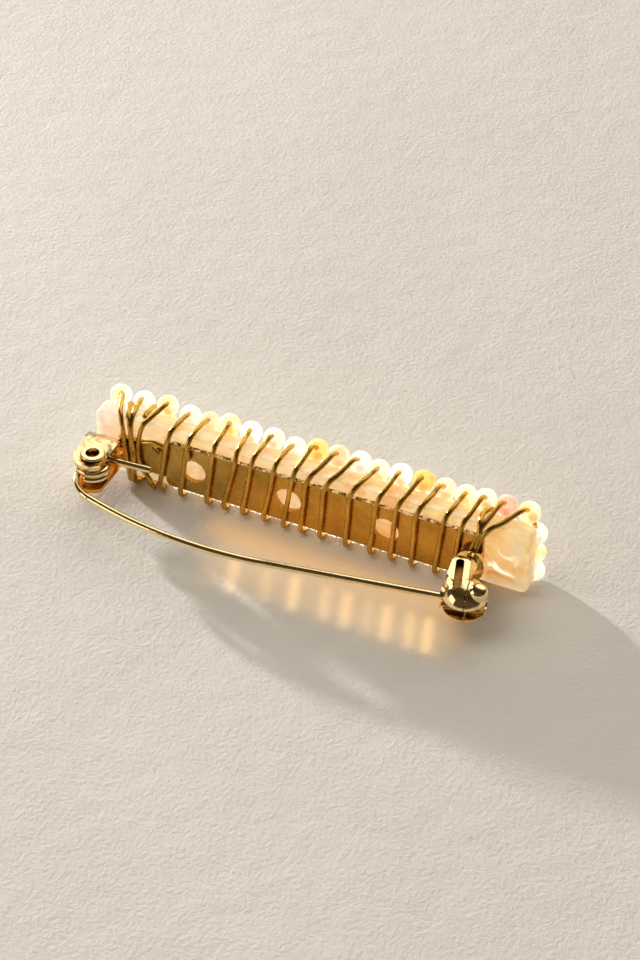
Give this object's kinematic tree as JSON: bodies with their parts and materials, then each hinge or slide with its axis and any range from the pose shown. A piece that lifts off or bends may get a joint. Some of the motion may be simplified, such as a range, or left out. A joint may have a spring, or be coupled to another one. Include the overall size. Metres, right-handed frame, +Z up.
{
  "type": "gemstone bar brooch",
  "caption": "Clear stone bar brooch wound with wire and small beads, on a pin back with a hinged pin and a turning catch.",
  "frame": {"origin": "middle of the bounding box's foot, on the surface that the brooch lies on", "axes": "+X along the bar from hinge to catch, -Y the side of the pin, +Y the beaded front, +Z up across the bar"},
  "size_m": [0.0426, 0.0134, 0.0083],
  "materials": {
    "stone": "clear pale peach, polished",
    "beads": "white, clear, pale yellow, amber and peach, glossy",
    "wire": "aged brass wire, satin",
    "gilt_plate": "gilt, satin",
    "gilt_bright": "gilt, polished"
  },
  "bodies": {
    "bar": {"stone_bar": "stone", "bead_field": "beads", "wrap_wire": "wire", "back_plate": "gilt_plate", "hinge_rivet": "gilt_bright", "catch_housing": "gilt_bright"},
    "pin": {"pin_stem": "gilt_bright"},
    "roller": {"catch_roller": "gilt_bright"}
  },
  "joints": [
    {"name": "pin_swing", "type": "hinge", "parent": "bar", "child": "pin", "pos_m": [-0.01922, -0.001, 0.00365], "axis": [0, 0, -1], "range_deg": [0, 80]},
    {"name": "catch_turn", "type": "hinge", "parent": "bar", "child": "roller", "pos_m": [0.01783, -0.00312, 0.00365], "axis": [0.9878, 0.1557, 0], "range_deg": [0, 130]}
  ]
}
